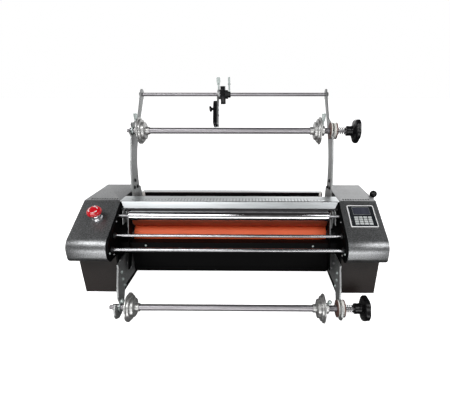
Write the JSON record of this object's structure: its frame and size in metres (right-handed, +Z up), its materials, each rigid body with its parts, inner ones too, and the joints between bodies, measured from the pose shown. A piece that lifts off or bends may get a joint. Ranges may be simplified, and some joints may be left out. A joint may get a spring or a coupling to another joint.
{
  "type": "roll laminator",
  "caption": "Desktop roll laminator with silicone pressure rolls, film supply shafts on arms, core chucks, slitter and keypad.",
  "frame": {"origin": "on the base plane, at the middle of the base boxes' footprint, on the underside of the rear panel's base tie", "axes": "+X along the rolls to the operator's right, +Y to the rear, +Z up"},
  "size_m": [0.967, 0.5316, 0.674],
  "materials": {
    "cover_paint": "fine textured charcoal powder coat",
    "black_paint": "semi-gloss black paint",
    "base_paint": "matt brown-black paint",
    "arm_steel": "grey zinc-plated sheet",
    "cover_aluminium": "light satin, perforated",
    "chrome": "polished",
    "silicone": "ground orange silicone rubber",
    "steel_shaft": "drawn bright steel",
    "cast_aluminium": "die-cast, tumbled",
    "gear_steel": "oiled machined steel",
    "black_plastic": "moulded black",
    "white_plastic": "white nylon with brown fibre washers",
    "red_plastic": "glossy red",
    "key_plastic": "light grey keys"
  },
  "bodies": {
    "chassis": {"side_frame_left": "black_paint", "side_cover_left": "cover_paint", "base_box_left": "base_paint", "upper_arm_left": "arm_steel", "lower_arm_left": "arm_steel", "side_frame_right": "black_paint", "side_cover_right": "cover_paint", "base_box_right": "base_paint", "upper_arm_right": "arm_steel", "lower_arm_right": "arm_steel", "front_beam": "black_paint", "front_panel": "black_paint", "guide_bar": "arm_steel", "front_rod_upper": "chrome", "front_rod_lower": "chrome", "rear_panel": "black_paint", "rear_top_bar": "cover_aluminium", "slitter_rail": "steel_shaft", "drive_motor": "black_paint", "control_panel": "black_plastic", "estop_collar": "cover_aluminium"},
    "lower_roll": {"lower_roller": "silicone", "lower_roller_gear": "gear_steel"},
    "pressure_carriage": {"pressure_block_left": "arm_steel", "pressure_block_right": "arm_steel"},
    "upper_roll": {"upper_roller": "silicone", "upper_roller_gear": "gear_steel"},
    "drive_pinion": {"motor_pinion": "gear_steel"},
    "idler": {"chrome_idler": "chrome"},
    "lever": {"pressure_lever": "black_plastic"},
    "cover": {"top_cover": "cover_aluminium"},
    "upper_supply_shaft": {"upper_shaft": "steel_shaft", "upper_brake_disc": "white_plastic"},
    "upper_left_chuck": {"upper_chuck_left": "cast_aluminium"},
    "upper_right_chuck": {"upper_chuck_right": "cast_aluminium"},
    "upper_brake_knob": {"upper_knob": "black_plastic"},
    "lower_supply_shaft": {"lower_shaft": "steel_shaft", "lower_brake_disc": "white_plastic"},
    "lower_left_chuck": {"lower_chuck_left": "cast_aluminium"},
    "lower_right_chuck": {"lower_chuck_right": "cast_aluminium"},
    "lower_brake_knob": {"lower_knob": "black_plastic"},
    "slitter_slide": {"slitter_clamp": "black_plastic"},
    "slitter_blade_arm": {"slitter_arm": "arm_steel"},
    "stop_button": {"estop_button": "red_plastic"},
    "key_1_1": {"key_1_1": "key_plastic"},
    "key_1_2": {"key_1_2": "key_plastic"},
    "key_1_3": {"key_1_3": "key_plastic"},
    "key_1_4": {"key_1_4": "key_plastic"},
    "key_2_1": {"key_2_1": "key_plastic"},
    "key_2_2": {"key_2_2": "key_plastic"},
    "key_2_3": {"key_2_3": "key_plastic"},
    "key_2_4": {"key_2_4": "key_plastic"},
    "key_3_1": {"key_3_1": "key_plastic"},
    "key_3_2": {"key_3_2": "key_plastic"},
    "key_3_3": {"key_3_3": "key_plastic"},
    "key_3_4": {"key_3_4": "key_plastic"},
    "key_4_1": {"key_4_1": "key_plastic"},
    "key_4_2": {"key_4_2": "key_plastic"},
    "key_4_3": {"key_4_3": "key_plastic"},
    "key_4_4": {"key_4_4": "key_plastic"}
  },
  "joints": [
    {"name": "top_cover_hinge", "type": "hinge", "parent": "chassis", "child": "cover", "pos_m": [0, 0.004, 0.2805], "axis": [-1, 0, 0], "range_deg": [0, 90]},
    {"name": "pressure_lever_turn", "type": "hinge", "parent": "chassis", "child": "lever", "pos_m": [0.478, 0.025, 0.185], "axis": [1, 0, 0], "range_deg": [0, 60]},
    {"name": "pressure_lift", "type": "slide", "parent": "chassis", "child": "pressure_carriage", "axis": [0, 0, 1], "range_m": [0, 0.003]},
    {"name": "lower_roll_spin", "type": "hinge", "parent": "chassis", "child": "lower_roll", "pos_m": [0, -0.035, 0.164], "axis": [1, 0, 0], "continuous": true},
    {"name": "upper_roll_spin", "type": "hinge", "parent": "pressure_carriage", "child": "upper_roll", "pos_m": [0, -0.035, 0.224], "axis": [1, 0, 0], "continuous": true},
    {"name": "drive_pinion_spin", "type": "hinge", "parent": "chassis", "child": "drive_pinion", "pos_m": [0, 0.0101, 0.18042], "axis": [1, 0, 0], "continuous": true},
    {"name": "idler_spin", "type": "hinge", "parent": "chassis", "child": "idler", "pos_m": [0, -0.084, 0.245], "axis": [1, 0, 0], "continuous": true},
    {"name": "upper_shaft_spin", "type": "hinge", "parent": "chassis", "child": "upper_supply_shaft", "pos_m": [0, 0.1, 0.483], "axis": [1, 0, 0], "continuous": true},
    {"name": "upper_chuck_left_slide", "type": "slide", "parent": "upper_supply_shaft", "child": "upper_left_chuck", "axis": [1, 0, 0], "range_m": [0, 0.18]},
    {"name": "upper_chuck_right_slide", "type": "slide", "parent": "upper_supply_shaft", "child": "upper_right_chuck", "axis": [-1, 0, 0], "range_m": [0, 0.18]},
    {"name": "upper_knob_turn", "type": "hinge", "parent": "upper_supply_shaft", "child": "upper_brake_knob", "pos_m": [0.41, 0.1, 0.483], "axis": [1, 0, 0], "range_deg": [-360, 360]},
    {"name": "lower_shaft_spin", "type": "hinge", "parent": "chassis", "child": "lower_supply_shaft", "pos_m": [0, -0.216, -0.006], "axis": [1, 0, 0], "continuous": true},
    {"name": "lower_chuck_left_slide", "type": "slide", "parent": "lower_supply_shaft", "child": "lower_left_chuck", "axis": [1, 0, 0], "range_m": [0, 0.18]},
    {"name": "lower_chuck_right_slide", "type": "slide", "parent": "lower_supply_shaft", "child": "lower_right_chuck", "axis": [-1, 0, 0], "range_m": [0, 0.18]},
    {"name": "lower_knob_turn", "type": "hinge", "parent": "lower_supply_shaft", "child": "lower_brake_knob", "pos_m": [0.41, -0.216, -0.006], "axis": [1, 0, 0], "range_deg": [-360, 360]},
    {"name": "slitter_slide_along", "type": "slide", "parent": "chassis", "child": "slitter_slide", "axis": [1, 0, 0], "range_m": [-0.19, 0.25]},
    {"name": "slitter_arm_swing", "type": "hinge", "parent": "slitter_slide", "child": "slitter_blade_arm", "pos_m": [-0.0545, 0.252, 0.594], "axis": [-1, 0, 0], "range_deg": [0, 100]},
    {"name": "stop_press", "type": "slide", "parent": "chassis", "child": "stop_button", "axis": [0, 0.4695, -0.8829], "range_m": [0, 0.004], "stiffness_N_per_m": 1500},
    {"name": "key_1_1_press", "type": "slide", "parent": "chassis", "child": "key_1_1", "axis": [0, 0.4695, -0.8829], "range_m": [0, 0.0005], "stiffness_N_per_m": 800},
    {"name": "key_1_2_press", "type": "slide", "parent": "chassis", "child": "key_1_2", "axis": [0, 0.4695, -0.8829], "range_m": [0, 0.0005], "stiffness_N_per_m": 800},
    {"name": "key_1_3_press", "type": "slide", "parent": "chassis", "child": "key_1_3", "axis": [0, 0.4695, -0.8829], "range_m": [0, 0.0005], "stiffness_N_per_m": 800},
    {"name": "key_1_4_press", "type": "slide", "parent": "chassis", "child": "key_1_4", "axis": [0, 0.4695, -0.8829], "range_m": [0, 0.0005], "stiffness_N_per_m": 800},
    {"name": "key_2_1_press", "type": "slide", "parent": "chassis", "child": "key_2_1", "axis": [0, 0.4695, -0.8829], "range_m": [0, 0.0005], "stiffness_N_per_m": 800},
    {"name": "key_2_2_press", "type": "slide", "parent": "chassis", "child": "key_2_2", "axis": [0, 0.4695, -0.8829], "range_m": [0, 0.0005], "stiffness_N_per_m": 800},
    {"name": "key_2_3_press", "type": "slide", "parent": "chassis", "child": "key_2_3", "axis": [0, 0.4695, -0.8829], "range_m": [0, 0.0005], "stiffness_N_per_m": 800},
    {"name": "key_2_4_press", "type": "slide", "parent": "chassis", "child": "key_2_4", "axis": [0, 0.4695, -0.8829], "range_m": [0, 0.0005], "stiffness_N_per_m": 800},
    {"name": "key_3_1_press", "type": "slide", "parent": "chassis", "child": "key_3_1", "axis": [0, 0.4695, -0.8829], "range_m": [0, 0.0005], "stiffness_N_per_m": 800},
    {"name": "key_3_2_press", "type": "slide", "parent": "chassis", "child": "key_3_2", "axis": [0, 0.4695, -0.8829], "range_m": [0, 0.0005], "stiffness_N_per_m": 800},
    {"name": "key_3_3_press", "type": "slide", "parent": "chassis", "child": "key_3_3", "axis": [0, 0.4695, -0.8829], "range_m": [0, 0.0005], "stiffness_N_per_m": 800},
    {"name": "key_3_4_press", "type": "slide", "parent": "chassis", "child": "key_3_4", "axis": [0, 0.4695, -0.8829], "range_m": [0, 0.0005], "stiffness_N_per_m": 800},
    {"name": "key_4_1_press", "type": "slide", "parent": "chassis", "child": "key_4_1", "axis": [0, 0.4695, -0.8829], "range_m": [0, 0.0005], "stiffness_N_per_m": 800},
    {"name": "key_4_2_press", "type": "slide", "parent": "chassis", "child": "key_4_2", "axis": [0, 0.4695, -0.8829], "range_m": [0, 0.0005], "stiffness_N_per_m": 800},
    {"name": "key_4_3_press", "type": "slide", "parent": "chassis", "child": "key_4_3", "axis": [0, 0.4695, -0.8829], "range_m": [0, 0.0005], "stiffness_N_per_m": 800},
    {"name": "key_4_4_press", "type": "slide", "parent": "chassis", "child": "key_4_4", "axis": [0, 0.4695, -0.8829], "range_m": [0, 0.0005], "stiffness_N_per_m": 800}
  ],
  "couplings": [
    {"joint": "pressure_lever_turn", "follows": "pressure_lift", "rad_per_m": 349},
    {"joint": "upper_roll_spin", "follows": "lower_roll_spin", "ratio": -1},
    {"joint": "drive_pinion_spin", "follows": "lower_roll_spin", "ratio": -1.6667}
  ]
}
